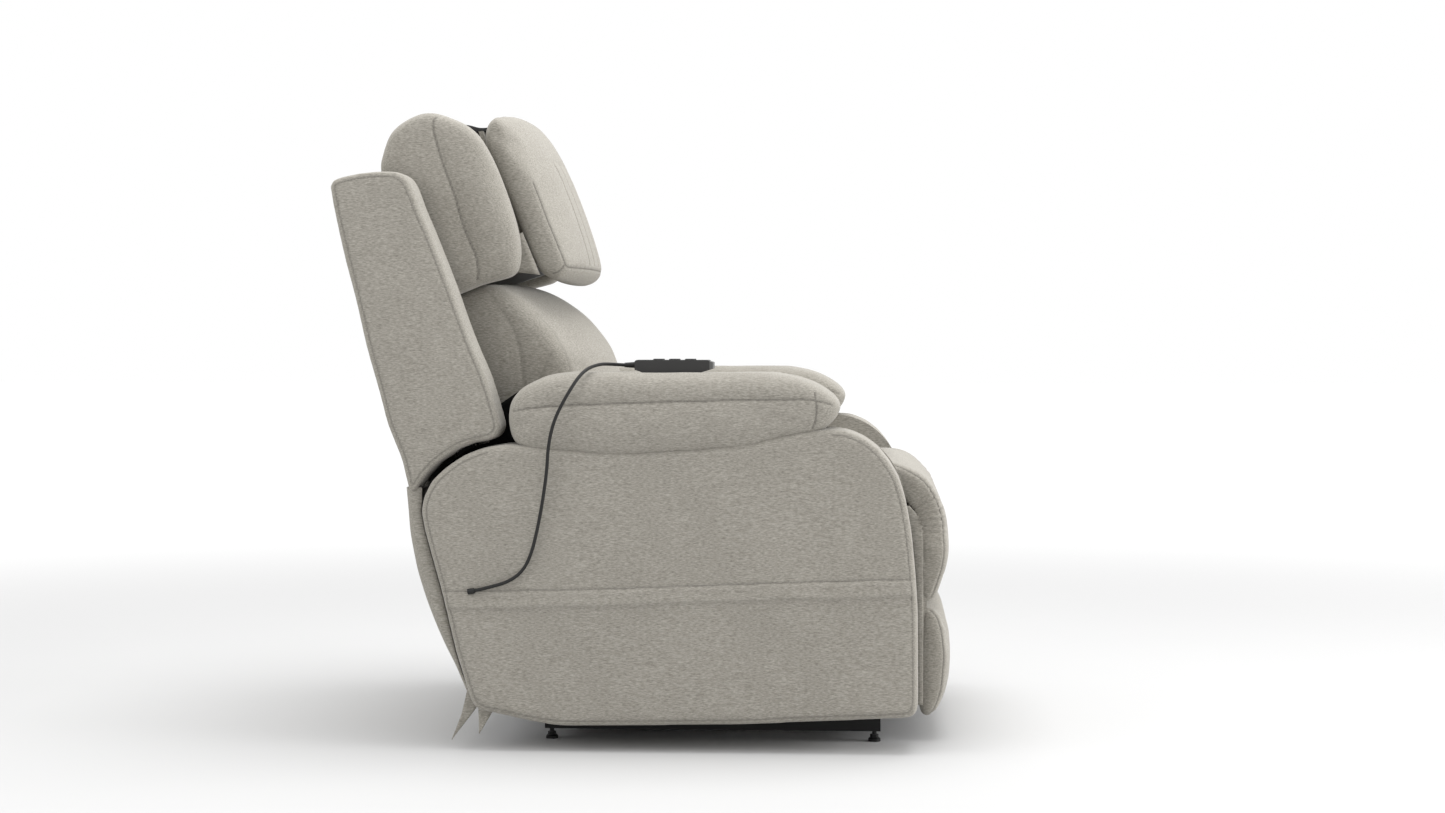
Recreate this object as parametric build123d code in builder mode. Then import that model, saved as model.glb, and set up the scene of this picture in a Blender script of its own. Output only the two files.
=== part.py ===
from build123d import *
import math
import os

# Lift recliner chair, modelled in millimetres.
# +X is the way the sitter faces, +Y is the sitter's left, +Z is up, and the floor is Z = 0.

# Driving dimensions: widths are measured from the middle plane, so they are half widths.
PANEL_OUT, PANEL_IN = 455.0, 325.0
PANEL_SKIN = 18.0
PANEL_RIM = 28.0
LINING = 12.0
ARM_OUT, ARM_IN = 462.0, 297.0
ARM_TOP = 664.0
ARM_ROUND = 32.0
WING_OUT, WING_IN = 448.0, 353.0
SEAT_HALF = 286.0
LUMBAR_HALF = 288.0
BOLSTER_OUT, BOLSTER_IN = 335.0, 256.0
HEADREST_HALF = 250.0
PLATE_IN, PLATE_OUT = 302.0, 308.0
LINK_IN, LINK_OUT = 290.0, 298.0
COUPLER_IN, COUPLER_OUT = 281.0, 288.0
POST_IN, POST_OUT = 262.0, 292.0
PIN = 6.0
RUNNING = 0.06

# Pivots, as (X, Z).
BACK_PIVOT = (-260.0, 413.0)
FOOTREST_PIVOT = (430.0, 390.0)
CRANK_PIVOT = (310.0, 330.0)
CRANK_ARM = (48.0, -190.0)
LIFT_PIVOT = (350.0, 80.0)
CHASSIS_PIVOT = (-50.0, 120.0)
TILT_BASE = (300.0, 84.0)
TILT_TOP = (-150.0, 110.0)
LIFT_MOUNT, LIFT_DRIVE = (-118.0, 60.0), (322.0, 131.0)
RECLINE_MOUNT, RECLINE_DRIVE = (270.0, 215.0), (-274.0, 340.0)
FOOTREST_MOUNT, FOOTREST_DRIVE = (-30.0, 186.0), (306.0, 290.0)
CRANK_END = (CRANK_PIVOT[0] + CRANK_ARM[0], CRANK_PIVOT[1] + CRANK_ARM[1])
COUPLER_END = (FOOTREST_PIVOT[0] + CRANK_ARM[0], FOOTREST_PIVOT[1] + CRANK_ARM[1])

# The back leans by this angle. Its own plane has x forwards from the pivot and y up the back.
BACK_LEAN = math.radians(18.3)
BACK = Plane(
    origin=(BACK_PIVOT[0], 0, BACK_PIVOT[1]),
    x_dir=(math.cos(BACK_LEAN), 0, math.sin(BACK_LEAN)),
    z_dir=(0, -1, 0),
)
SIDE = Plane.XZ
PANEL_ARC, WING_ARC = 126.0, 131.0
HEADREST_PIVOT = (172.0, 418.0)
HINGE_LANE = (150.0, 156.0)

SIDES = {"right": -1, "left": 1}


def save(piece, label):
    """Name a finished piece and write it."""
    piece.part.label = label
    export_step(piece.part, f"parts/{label}.step")


def slab(outline, y_low, y_high, plane=SIDE, soften=0.0):
    """A plate whose outline lies in a side plane, between two heights across the chair."""
    with BuildPart() as plate:
        with BuildSketch(plane.offset(-y_low)):
            make_face(outline.edges())
        extrude(amount=y_low - y_high)
        if soften:
            rims = plate.faces().filter_by(Axis.Y).edges()
            fillet(rims, soften)
    return plate


def polygon(points, radius=0.0):
    """A closed outline through points, with its corners rounded."""
    with BuildLine() as outline:
        if radius:
            FilletPolyline(*points, radius=radius, close=True)
        else:
            Polyline(*points, close=True)
    return outline.line


def along(mount, tip, across):
    """A plane at an actuator's mount, whose normal runs from the mount to its tip."""
    return Plane(
        origin=(mount[0], across, mount[1]),
        x_dir=(0, 1, 0),
        z_dir=(tip[0] - mount[0], 0, tip[1] - mount[1]),
    )


def arc_point(centre, radius, degrees):
    """A point on a circle in a side plane."""
    angle = math.radians(degrees)
    return (centre[0] + radius * math.cos(angle), centre[1] + radius * math.sin(angle))


# Outlines of the soft and upholstered parts.
def side_outline():
    """Side panel, from its bottom front corner round the rear arc to the front curve."""
    low_front, kink, low_rear = (485, 64), (-128, 45), (-297, 73)
    arc_start = arc_point(BACK_PIVOT, PANEL_ARC, 188)
    arc_middle = arc_point(BACK_PIVOT, PANEL_ARC, 135)
    arc_end = arc_point(BACK_PIVOT, PANEL_ARC, 82)
    crown, shoulder, waist = (330, 567), (462, 443), (485, 240)
    with BuildLine() as outline:
        Polyline(waist, low_front, kink, low_rear, arc_start)
        ThreePointArc(arc_start, arc_middle, arc_end)
        Line(arc_end, crown)
        ThreePointArc(crown, (424, 524), shoulder)
        ThreePointArc(shoulder, (478, 345), waist)
    return outline.line


def arm_outline():
    """Arm pad, seen from the side: full at the rear, pointed at the upper front."""
    with BuildLine() as outline:
        Polyline((-150, ARM_TOP), (240, ARM_TOP))
        ThreePointArc((240, ARM_TOP), (309, 640), (347, 604))
        ThreePointArc((347, 604), (330, 576), (290, 556))
        ThreePointArc((290, 556), (40, 514), (-190, 528))
        ThreePointArc((-190, 528), (-229, 570), (-214, 634))
        ThreePointArc((-214, 634), (-190, 655), (-150, ARM_TOP))
    return outline.line


def wing_outline():
    """Side wing of the back, whose lower edge is concentric with the side panel's arc."""
    low_front = arc_point(BACK_PIVOT, WING_ARC, 92)
    low_middle = arc_point(BACK_PIVOT, WING_ARC, 128)
    low_rear = arc_point(BACK_PIVOT, WING_ARC, 163)
    with BuildLine() as outline:
        ThreePointArc(low_front, low_middle, low_rear)
        Polyline(low_rear, (-411, 447), (-548, 992), (-540, 1006), (-500, 1015), (-428, 1018))
        Polyline((-428, 1018), (-406, 1000), (-310, 757), (-270, 660), (-245, 578), low_front)
    return outline.line


def bolster_outline():
    """Head pillow, in the back's own plane."""
    return polygon(
        [(-14, 402), (42, 398), (150, 400), (180, 440), (184, 480), (170, 640), (160, 680),
         (130, 716), (95, 724), (20, 700), (-14, 655)]
    )


def lumbar_outline():
    """Lumbar cushion, in the back's own plane."""
    return polygon(
        [(-14, 48), (214, 62), (238, 140), (240, 232), (214, 298), (172, 346), (105, 388),
         (40, 396), (-14, 390)],
        8,
    )


def headrest_outline():
    """Headrest pad, in the back's own plane."""
    return polygon(
        [(193, 380), (222, 361), (252, 364), (266, 392), (272, 480), (268, 566), (254, 640),
         (236, 680), (212, 700), (186, 692), (170, 670), (168, 648), (172, 602), (180, 508),
         (183.5, 430)]
    )


def seat_outline():
    """Seat cushion, down to a small roll round the footrest's hinge."""
    with BuildLine() as outline:
        Polyline((-205, 378), (-205, 452), (-196, 464), (60, 486), (300, 500), (425, 505))
        Line((425, 505), (425, 447))
        ThreePointArc((425, 447), (478, 420), (484, 372))
        Polyline((484, 372), (404, 373), (-205, 378))
    return outline.line


def chaise_roll_outline():
    """The roll of fabric and fill that bends when the footrest rises."""
    inner, outer = 60.0, 115.0
    turn = (12, 50, 89)
    inside = [arc_point(FOOTREST_PIVOT, inner, degrees) for degrees in turn]
    outside = [arc_point(FOOTREST_PIVOT, outer, degrees) for degrees in turn]
    with BuildLine() as outline:
        ThreePointArc(*inside)
        Line(inside[2], outside[2])
        ThreePointArc(*reversed(outside))
        Line(outside[0], inside[0])
    return outline.line


# Base frame, which stays on the floor.
BASE_FRONT, BASE_REAR = 420.0, -185.0
RAIL_IN, RAIL_OUT = 285.0, 315.0
TUBE_LOW, TUBE_HIGH = 20.0, 50.0
FEET = {"front": 409.0, "rear": -174.0}
FOOT_ACROSS = 300.0


def box_between(low, high):
    """A plain box between two corners, added to the piece being made."""
    middle = [(a + b) / 2 for a, b in zip(low, high)]
    size = [b - a for a, b in zip(low, high)]
    with Locations(tuple(middle)):
        Box(*size)


def tube_between(low, high, wall, open_axis):
    """A square tube between two corners, open at both ends along one axis."""
    inside_low = [a if axis == open_axis else a + wall for axis, a in zip("XYZ", low)]
    inside_high = [b if axis == open_axis else b - wall for axis, b in zip("XYZ", high)]
    middle = [(a + b) / 2 for a, b in zip(inside_low, inside_high)]
    size = [b - a for a, b in zip(inside_low, inside_high)]
    box_between(low, high)
    with Locations(tuple(middle)):
        Box(*size, mode=Mode.SUBTRACT)


def make_base():
    with BuildPart() as rails:
        tube_between(
            (BASE_REAR, RAIL_IN, TUBE_LOW), (BASE_FRONT, RAIL_OUT, TUBE_HIGH), 2.0, "X"
        )
        for place in FEET.values():
            with Locations((place, FOOT_ACROSS, TUBE_LOW)):
                Hole(radius=4 + RUNNING, depth=6)
        mirror(about=Plane.XZ)
    save(rails, "base_side_rails")
    with BuildPart() as cross:
        for start in (BASE_REAR, BASE_FRONT - 25):
            low, high = (start, -RAIL_IN, TUBE_LOW), (start + 25, RAIL_IN, TUBE_HIGH)
            tube_between(low, high, 2.0, "Y")
    save(cross, "base_cross_tubes")


def disc_and_hull(points_and_radii):
    """A link's outline: one closed hull round a circle at each joint, in the current sketch."""
    for (x, z), radius in points_and_radii:
        with Locations((x, z)):
            Circle(radius)
    make_hull()


def link(joints, inner, outer, holes):
    """A flat steel link on both sides, with a hole (centre, radius) at each pivot."""
    with BuildPart() as bar:
        with BuildSketch(SIDE.offset(-inner)):
            disc_and_hull(joints)
            for centre, radius in holes:
                with Locations(centre):
                    Circle(radius, mode=Mode.SUBTRACT)
        extrude(amount=inner - outer)
        mirror(about=Plane.XZ)
    return bar


def pins(centre, radius, inner, outer):
    """A round pin across the chair on both sides, added to the piece being made."""
    for start, length in ((inner, inner - outer), (-outer, inner - outer)):
        with BuildSketch(SIDE.offset(-start)) as disc:
            with Locations(centre):
                Circle(radius)
        extrude(disc.sketch, amount=length)


LIFT_LANE = (225.0, 235.0)
CARRIER_LANE = (237.0, 243.0)
TILT_LANE = (248.0, 256.0)
BASE_LANE = (238.0, 246.0)


def make_base_brackets():
    """Plates that carry the lift arms and tilt links, and the clevis of the lift motor."""
    outline = polygon(
        [(284, 68), (284, 100), (366, 98), (420, 66), (420, 50), (395, 50), (374, 62)], 5
    )
    with BuildPart() as brackets:
        with BuildSketch(SIDE.offset(-BASE_LANE[0])):
            make_face(outline.edges())
            with Locations(LIFT_PIVOT):
                Circle(7 + RUNNING, mode=Mode.SUBTRACT)
        extrude(amount=BASE_LANE[0] - BASE_LANE[1])
        with BuildSketch(SIDE.offset(-BASE_LANE[1])):
            with Locations(TILT_BASE):
                Circle(PIN)
        extrude(amount=BASE_LANE[1] - TILT_LANE[1] - 3)
        mirror(about=Plane.XZ)
        for low in (-14.0, 9.0):
            with BuildSketch(SIDE.offset(-low)):
                disc_and_hull([(LIFT_MOUNT, 13), ((-156, 46), 4), ((-155, 26), 5)])
            extrude(amount=-5)
        with BuildSketch(SIDE.offset(9)):
            with Locations(LIFT_MOUNT):
                Circle(PIN)
        extrude(amount=-18)
    save(brackets, "lift_base_brackets")


def make_feet():
    """Four glides: a threaded stem up into the rail, a hexagon to turn, and a round pad."""
    for end, place in FEET.items():
        for side, sign in SIDES.items():
            with BuildPart() as foot:
                with BuildSketch(Plane((place, sign * FOOT_ACROSS, 0))):
                    Circle(11)
                extrude(amount=7)
                chamfer(foot.faces().sort_by(Axis.Z)[-1].edges(), 2)
                with BuildSketch(Plane((place, sign * FOOT_ACROSS, 7))):
                    RegularPolygon(7.5, 6)
                extrude(amount=6)
                with BuildSketch(Plane((place, sign * FOOT_ACROSS, 13))):
                    Circle(4)
                extrude(amount=12)
            save(foot, f"foot_{end}_{side}")


def make_lift():
    """Lift arms with their cross shafts, and the links that tilt the seat forwards."""
    arms = link(
        [(LIFT_PIVOT, 19), (CHASSIS_PIVOT, 14), (LIFT_DRIVE, 14)],
        *LIFT_LANE,
        [(LIFT_PIVOT, 7), (CHASSIS_PIVOT, 7 + RUNNING)],
    )
    save(arms, "lift_arms")
    with BuildPart() as shafts:
        with BuildSketch(SIDE.offset(LIFT_LANE[0])):
            with Locations(LIFT_PIVOT):
                Circle(15)
            with Locations(LIFT_DRIVE):
                Circle(8)
        extrude(amount=-2 * LIFT_LANE[0])
        pins(LIFT_PIVOT, 7, LIFT_LANE[0], BASE_LANE[1] + 1)
    save(shafts, "lift_cross_shafts")
    links = link(
        [(TILT_BASE, 13), (TILT_TOP, 14)],
        *TILT_LANE,
        [(TILT_BASE, PIN + RUNNING), (TILT_TOP, PIN + 3)],
    )
    save(links, "tilt_links")


def make_actuator(name, mount, tip, across, stroke, eye_hole, tube_end):
    """A linear actuator: motor, gearbox and outer tube on the mount, and the sliding rod."""
    axis = along(mount, tip, across)
    length = math.dist(mount, tip)
    gearbox_start, gearbox_end, motor_end, bore_start = 20.0, 62.0, 160.0, 84.0
    motor_offset, eye = 38.0, eye_hole + 5
    with BuildPart() as motor:
        with BuildSketch(axis.offset(-12)):
            Rectangle(16, 24)
        extrude(amount=12 + gearbox_start)
        with BuildSketch(axis.offset(gearbox_start)):
            with Locations((motor_offset / 2, 0)):
                Rectangle(motor_offset + 42, 42)
        extrude(amount=gearbox_end - gearbox_start)
        with BuildSketch(axis.offset(gearbox_end)):
            Circle(17)
        extrude(amount=tube_end - gearbox_end)
        with BuildSketch(axis.offset(gearbox_end)):
            with Locations((motor_offset, 0)):
                Circle(18)
        extrude(amount=motor_end - gearbox_end)
        with BuildSketch(axis.offset(bore_start)):
            Circle(10.5)
        extrude(amount=tube_end - bore_start, mode=Mode.SUBTRACT)
        with BuildSketch(SIDE.offset(8 - across)):
            with Locations(mount):
                Circle(PIN + RUNNING)
        extrude(amount=-16, mode=Mode.SUBTRACT)
    save(motor, f"{name}_motor")
    with BuildPart() as rod:
        with BuildSketch(axis.offset(bore_start + stroke + 4)):
            Circle(9)
        extrude(amount=length - bore_start - stroke - 4 - eye)
        with BuildSketch(axis.offset(length - eye)):
            Rectangle(18, 2 * eye)
        extrude(amount=2 * eye)
        with BuildSketch(SIDE.offset(9 - across)):
            with Locations(tip):
                Circle(eye_hole)
        extrude(amount=-18, mode=Mode.SUBTRACT)
    save(rod, f"{name}_rod")


# Chassis: the frame that the seat, the arms and the back are built on.
CHASSIS_LOW = 100.0
CROSS_TUBES = {"rear": (-205.0, 138.0), "middle": (-60.0, 138.0), "front": (257.0, 157.0)}
RECLINE_ACROSS, FOOTREST_ACROSS = 90.0, -90.0


def make_chassis():
    plate_outline = polygon(
        [(-284, 396), (-284, 438), (-238, 438), (-205, 372), (290, 349), (402, 414),
         (448, 412), (452, 374), (338, 304), (300, 104), (-232, 104), (-246, 330)],
        10,
    )
    with BuildPart() as plates:
        with BuildSketch(SIDE.offset(-PLATE_IN)):
            make_face(plate_outline.edges())
        extrude(amount=PLATE_IN - PLATE_OUT)
        for centre in (BACK_PIVOT, CRANK_PIVOT, FOOTREST_PIVOT):
            with BuildSketch(SIDE.offset(-LINK_IN)):
                with Locations(centre):
                    Circle(PIN)
            extrude(amount=LINK_IN - PLATE_IN)
        mirror(about=Plane.XZ)
    save(plates, "mechanism_side_plates")
    with BuildPart() as rails:
        for low in (CHASSIS_LOW, 300.0):
            front = 300.0 if low == CHASSIS_LOW else 280.0
            tube_between((-225, PLATE_OUT, low), (front, 324, low + 30), 2.0, "X")
        mirror(about=Plane.XZ)
    save(rails, "chassis_side_rails")
    with BuildPart() as tubes:
        for x, z in CROSS_TUBES.values():
            tube_between((x, -PLATE_IN, z), (x + 25, PLATE_IN, z + 25), 2.0, "Y")
    save(tubes, "chassis_cross_tubes")
    with BuildPart() as carriers:
        with BuildSketch(SIDE.offset(-CARRIER_LANE[0])):
            disc_and_hull([(CHASSIS_PIVOT, 15), (TILT_TOP, 15), ((-200, 133), 5), ((-40, 133), 5)])
        extrude(amount=CARRIER_LANE[0] - CARRIER_LANE[1])
        with BuildSketch(SIDE.offset(-LIFT_LANE[0] + 3)):
            with Locations(CHASSIS_PIVOT):
                Circle(7)
        extrude(amount=LIFT_LANE[0] - 3 - CARRIER_LANE[0])
        with BuildSketch(SIDE.offset(-CARRIER_LANE[1])):
            with Locations(TILT_TOP):
                Circle(PIN)
        extrude(amount=CARRIER_LANE[1] - TILT_LANE[1] - 3)
        mirror(about=Plane.XZ)
        front, middle = CROSS_TUBES["front"], CROSS_TUBES["middle"]
        for mount, foot, across in (
            (RECLINE_MOUNT, front, RECLINE_ACROSS),
            (FOOTREST_MOUNT, middle, FOOTREST_ACROSS),
        ):
            top = foot[1] + 25
            base = [((foot[0] + 2, top + 2), 2), ((foot[0] + 23, top + 2), 2)]
            for low in (-14.0, 9.0):
                with BuildSketch(SIDE.offset(-low - across)):
                    disc_and_hull([(mount, 13), *base])
                extrude(amount=-5)
            with BuildSketch(SIDE.offset(9 - across)):
                with Locations(mount):
                    Circle(PIN)
            extrude(amount=-18)
    save(carriers, "chassis_brackets")


def make_seat():
    """Wooden seat frame, its elastic belts, the cushion and the front roll."""
    low, high = (-165.0, -300.0, 350.0), (392.0, 300.0, 370.0)
    with BuildPart() as deck:
        box_between(low, high)
        with BuildSketch(Plane.XY.offset(340)):
            with Locations((113.5, 0)):
                Rectangle(477, 520)
        extrude(amount=40, mode=Mode.SUBTRACT)
        for number in range(6):
            place = -100.0 + number * 82.0
            box_between((place, -282, 370), (place + 50, 282, 372))
    save(deck, "seat_deck")
    save(slab(seat_outline(), -SEAT_HALF, SEAT_HALF), "seat_cushion")
    save(slab(chaise_roll_outline(), -SEAT_HALF, SEAT_HALF), "chaise_roll")


def make_sides():
    """Upholstered side panels, their inner linings and the arm pads."""
    outline = side_outline()
    pad = arm_outline()
    for side, sign in SIDES.items():
        skin = sorted((sign * PANEL_OUT, sign * (PANEL_OUT - PANEL_SKIN)))
        depth = sorted((sign * (PANEL_OUT - PANEL_SKIN), sign * (PANEL_IN + LINING)))
        reach = sorted((sign * ARM_OUT, sign * ARM_IN))
        with BuildPart() as panel:
            with BuildSketch(SIDE.offset(-skin[0])):
                make_face(outline.edges())
            extrude(amount=skin[0] - skin[1])
            with BuildSketch(SIDE.offset(-depth[0])):
                make_face(outline.edges())
                offset(amount=-PANEL_RIM, mode=Mode.SUBTRACT)
            extrude(amount=depth[0] - depth[1])
            with BuildSketch(SIDE.offset(-reach[0])):
                make_face(pad.edges())
            extrude(amount=reach[0] - reach[1], mode=Mode.SUBTRACT)
        save(panel, f"side_panel_{side}")
        with BuildPart() as arm:
            with BuildSketch(SIDE.offset(-reach[0])):
                make_face(pad.edges())
            extrude(amount=reach[0] - reach[1])
            fillet(arm.faces().sort_by(Axis.Y)[0 if sign < 0 else -1].edges(), ARM_ROUND)
        save(arm, f"arm_pad_{side}")
    with BuildPart() as linings:
        with BuildSketch(SIDE.offset(-PANEL_IN)):
            make_face(outline.edges())
            make_face(pad.edges(), mode=Mode.SUBTRACT)
        extrude(amount=-LINING)
        mirror(about=Plane.XZ)
    save(linings, "side_linings")


def make_back():
    """Back frame, wings, rear panel and the cushions fixed to it."""
    with BuildPart() as posts:
        with BuildSketch(BACK.offset(-POST_IN)):
            with Locations((-35, 256)):
                Rectangle(30, 688)
        extrude(amount=POST_IN - POST_OUT)
        with BuildSketch(BACK.offset(-POST_IN - 2)):
            with Locations((-35, 256)):
                Rectangle(26, 690)
        extrude(amount=POST_IN - POST_OUT + 4, mode=Mode.SUBTRACT)
        with BuildSketch(BACK.offset(-POST_OUT)):
            disc_and_hull([((0, 0), 17), ((-40, 70), 9), ((-40, -40), 9)])
            Circle(PIN + RUNNING, mode=Mode.SUBTRACT)
        extrude(amount=POST_OUT - LINK_OUT)
        mirror(about=Plane.XZ)
    save(posts, "back_posts")
    with BuildPart() as bars:
        for height in (152, 352, 580):
            with BuildSketch(BACK.offset(-WING_IN)):
                with Locations((-62.5, height)):
                    Rectangle(25, 40)
                    Rectangle(21, 36, mode=Mode.SUBTRACT)
            extrude(amount=2 * WING_IN)
        with BuildSketch(SIDE.offset(POST_IN)):
            with Locations(RECLINE_DRIVE):
                Circle(8)
        extrude(amount=-2 * POST_IN)
    save(bars, "back_cross_bars")
    for side, sign in SIDES.items():
        low, high = sorted((sign * WING_OUT, sign * WING_IN))
        save(slab(wing_outline(), low, high), f"back_wing_{side}")
    rear = polygon([(-408, 451), (-544, 997), (-534, 1000), (-398, 454)])
    save(slab(rear, -WING_IN, WING_IN), "back_rear_panel")
    middle = polygon([(-14, 440), (140, 440), (92, 704), (40, 706), (-14, 655)])
    with BuildPart() as pillow:
        with BuildSketch(BACK.offset(-BOLSTER_IN)):
            make_face(bolster_outline().edges())
        extrude(amount=BOLSTER_IN - BOLSTER_OUT)
        mirror(about=Plane.XZ)
        with BuildSketch(BACK.offset(BOLSTER_IN)):
            make_face(middle.edges())
        extrude(amount=-2 * BOLSTER_IN)
    save(pillow, "head_pillow")
    with BuildPart() as arms:
        with BuildSketch(BACK.offset(-HINGE_LANE[0])):
            disc_and_hull([(HEADREST_PIVOT, 9), ((-40, 418), 9)])
        extrude(amount=HINGE_LANE[0] - HINGE_LANE[1])
        with BuildSketch(BACK.offset(-HINGE_LANE[1])):
            with Locations(HEADREST_PIVOT):
                Circle(4)
        extrude(amount=-12)
        mirror(about=Plane.XZ)
    save(arms, "headrest_arms")


def make_headrest():
    """Headrest pad on its board, which turns on the arms' pins, and the fabric that joins it."""
    save(slab(headrest_outline(), -HEADREST_HALF, HEADREST_HALF, BACK), "headrest_pad")
    board_outline = polygon(
        [(173, 436), (181, 436), (178, 508), (170, 602), (166, 648), (167, 674), (159, 676),
         (158, 648), (162, 602), (170, 508)]
    )
    with BuildPart() as board:
        with BuildSketch(BACK.offset(-200)):
            make_face(board_outline.edges())
        extrude(amount=400)
        with BuildSketch(BACK.offset(-HINGE_LANE[1] - 2)):
            disc_and_hull([(HEADREST_PIVOT, 9), ((175, 447), 4)])
            with Locations(HEADREST_PIVOT):
                Circle(4 + RUNNING, mode=Mode.SUBTRACT)
        extrude(amount=-8)
        with BuildSketch(BACK.offset(HINGE_LANE[1] + 2)):
            disc_and_hull([(HEADREST_PIVOT, 9), ((175, 447), 4)])
            with Locations(HEADREST_PIVOT):
                Circle(4 + RUNNING, mode=Mode.SUBTRACT)
        extrude(amount=8)
    save(board, "headrest_board")
    side = polygon([(182, 466), (188, 386), (153, 398), (176, 430)])
    with BuildPart() as gusset:
        with BuildSketch(BACK.offset(-HEADREST_HALF - 1.5)):
            make_face(side.edges())
        extrude(amount=-2.5)
        mirror(about=Plane.XZ)
        with BuildSketch(BACK.offset(-120)):
            make_face(polygon([(97, 706), (166, 686), (167, 690), (98, 711)]).edges())
        extrude(amount=240)
    save(gusset, "headrest_gusset")


def make_lumbar():
    save(slab(lumbar_outline(), -LUMBAR_HALF, LUMBAR_HALF, BACK), "lumbar_cushion")
    plate = polygon([(-18.5, 60), (-14, 60), (-14, 380), (-18.5, 380)])
    save(slab(plate, -254, 254, BACK), "lumbar_plate")


def make_footrest():
    """Footrest on its hinge, with the crank and coupler that raise it on each side."""
    bracket = polygon(
        [(414, 405), (444, 405), (490, 386), (490, 88), (468, 88), (462, 212), (414, 376)], 6
    )
    with BuildPart() as brackets:
        with BuildSketch(SIDE.offset(-LINK_IN)):
            make_face(bracket.edges())
            with Locations(FOOTREST_PIVOT):
                Circle(PIN + RUNNING, mode=Mode.SUBTRACT)
        extrude(amount=LINK_IN - LINK_OUT)
        with BuildSketch(SIDE.offset(-COUPLER_IN + 1)):
            with Locations(COUPLER_END):
                Circle(PIN)
        extrude(amount=COUPLER_IN - 1 - LINK_IN)
        mirror(about=Plane.XZ)
    save(brackets, "footrest_brackets")
    with BuildPart() as board:
        box_between((490, -LINK_OUT, 70), (502, LINK_OUT, 384))
    save(board, "footrest_board")
    chaise = polygon(
        [(502, 250), (530, 252), (543, 292), (547, 340), (545.6, 408), (502, 401.4)]
    )
    save(slab(chaise, -SEAT_HALF, SEAT_HALF), "chaise_pad")
    leg = polygon(
        [(502, 246), (522, 244), (540, 216), (548, 150), (540, 84), (524, 46), (506, 36),
         (490, 44), (490, 66), (502, 66)]
    )
    save(slab(leg, -SEAT_HALF, SEAT_HALF), "leg_pad")
    cranks = link(
        [(CRANK_PIVOT, 13), (CRANK_END, 11), (FOOTREST_DRIVE, 12)],
        LINK_IN,
        LINK_OUT,
        [(CRANK_PIVOT, PIN + RUNNING)],
    )
    with BuildPart() as pinned:
        add(cranks.part)
        pins(CRANK_END, PIN, COUPLER_IN - 1, LINK_IN)
        with BuildSketch(SIDE.offset(LINK_IN)):
            with Locations(FOOTREST_DRIVE):
                Circle(8)
        extrude(amount=-2 * LINK_IN)
    save(pinned, "footrest_cranks")
    couplers = link(
        [(CRANK_END, 10.5), (COUPLER_END, 9.5)],
        COUPLER_IN,
        COUPLER_OUT,
        [(CRANK_END, PIN + RUNNING), (COUPLER_END, PIN + 0.5)],
    )
    save(couplers, "footrest_couplers")


def make_electrics():
    """Control box on the middle cross tube, with the inlet for its power lead."""
    low, high = (-72.0, -250.0, 163.0), (58.0, -140.0, 211.0)
    with BuildPart() as box:
        box_between(low, high)
        fillet(box.edges().filter_by(Axis.Z), 6)
        box_between((low[0] - 12, -210, 176), (low[0], -180, 198))
        with BuildSketch(Plane((low[0] - 12, -195, 187), x_dir=(0, 1, 0), z_dir=(-1, 0, 0))):
            RectangleRounded(22, 14, 3)
        extrude(amount=-9, mode=Mode.SUBTRACT)
    save(box, "control_box")


# Handset, which lies on the right arm pad.
HANDSET_REAR, HANDSET_FRONT = -13.0, 119.0
HANDSET_ACROSS = -380.0
HANDSET_WIDE = 50.0
CASE_SPLIT, CASE_TOP = 676.0, 686.0
BUTTON_ROWS = (28.0, 56.0, 84.0)
BUTTON_COLUMNS = {"left": 11.0, "right": -11.0}
BUTTON_NAMES = ("chair", "headrest", "lumbar")


def handset_slab(points, half=HANDSET_WIDE / 2):
    """A slice of the handset, rounded at its ends, across the handset's width."""
    return slab(polygon(points), HANDSET_ACROSS - half, HANDSET_ACROSS + half)


def make_handset():
    rear, front = HANDSET_REAR, HANDSET_FRONT
    lower = handset_slab(
        [(rear, 669), (rear + 14, ARM_TOP), (front - 16, ARM_TOP), (front, 669),
         (front, CASE_SPLIT), (rear, CASE_SPLIT)]
    )
    save(lower, "handset_lower_case")
    slice_above = handset_slab(
        [(rear, CASE_SPLIT), (front, CASE_SPLIT), (front, 684), (front - 3, CASE_TOP),
         (rear + 3, CASE_TOP), (rear, 684)]
    )
    wells = Plane.XY.offset(CASE_TOP)
    places = [(x, HANDSET_ACROSS + y) for x in BUTTON_ROWS for y in BUTTON_COLUMNS.values()]
    with BuildPart() as upper:
        add(slice_above.part)
        with BuildSketch(wells):
            with Locations(*places):
                RectangleRounded(18.8, 12.8, 3.4)
        extrude(amount=-5, mode=Mode.SUBTRACT)
    save(upper, "handset_upper_case")
    for name, x in zip(BUTTON_NAMES, BUTTON_ROWS):
        for column, y in BUTTON_COLUMNS.items():
            with BuildPart() as button:
                with BuildSketch(Plane((x, HANDSET_ACROSS + y, CASE_TOP - 2.8))):
                    RectangleRounded(18, 12, 3)
                extrude(amount=4.8)
                fillet(button.faces().sort_by(Axis.Z)[-1].edges(), 0.8)
            save(button, f"button_{name}_{'up' if column == 'left' else 'down'}")
    blank = handset_slab([(front, 669), (front + 6, 671), (front + 6, 682), (front, 684)])
    with BuildPart() as cap:
        add(blank.part)
        with BuildSketch(Plane((front + 6, HANDSET_ACROSS, 676.5), z_dir=(1, 0, 0))):
            SlotOverall(12, 4)
        extrude(amount=-4, mode=Mode.SUBTRACT)
    save(cap, "handset_end_cap")
    with BuildPart() as relief:
        with BuildSketch(Plane((rear, HANDSET_ACROSS, 677), z_dir=(-1, 0, 0))):
            Circle(5.6)
        with BuildSketch(Plane((rear - 20, HANDSET_ACROSS, 677), z_dir=(-1, 0, 0))):
            Circle(4.0)
        loft()
    save(relief, "handset_strain_relief")


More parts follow.
